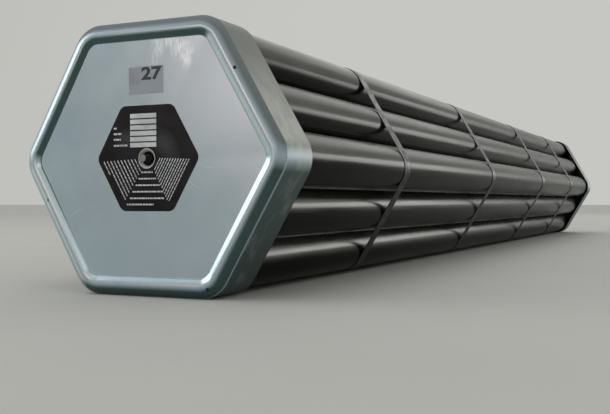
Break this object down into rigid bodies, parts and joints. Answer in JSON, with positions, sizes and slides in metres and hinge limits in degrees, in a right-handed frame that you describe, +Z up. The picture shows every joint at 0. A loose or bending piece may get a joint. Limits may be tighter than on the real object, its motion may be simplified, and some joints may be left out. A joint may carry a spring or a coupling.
{
  "type": "bundle of steel pipes",
  "caption": "Hexagonal bundle of dark steel pipes with a pressed steel cap on each end, a tie rod through the middle pipe and steel straps round the stack.",
  "frame": {"origin": "middle of the footprint, on the level that the bundle rests on", "axes": "+X along the pipes from the near cap, which carries the label, to the far cap; +Z up, with a flat side of the hexagon down"},
  "size_m": [3.1418, 0.4576, 0.41],
  "materials": {
    "pipe": "dark oiled mill finish",
    "end_cap": "satin grey-green metallic",
    "rod": "zinc plated",
    "nut": "blackened",
    "strap": "blued strapping steel",
    "seal": "zinc plated"
  },
  "bodies": {
    "root": {"pipe_01": "pipe", "pipe_02": "pipe", "pipe_03": "pipe", "pipe_04": "pipe", "pipe_05": "pipe", "pipe_06": "pipe", "pipe_07": "pipe", "pipe_08": "pipe", "pipe_09": "pipe", "pipe_10": "pipe", "pipe_11": "pipe", "pipe_12": "pipe", "pipe_13": "pipe", "pipe_14": "pipe", "pipe_15": "pipe", "pipe_16": "pipe", "pipe_17": "pipe", "pipe_18": "pipe", "pipe_19": "pipe", "end_caps": "end_cap", "tie_rod": "rod", "rod_nuts": "nut", "straps": "strap", "strap_seals": "seal"}
  },
  "joints": []
}
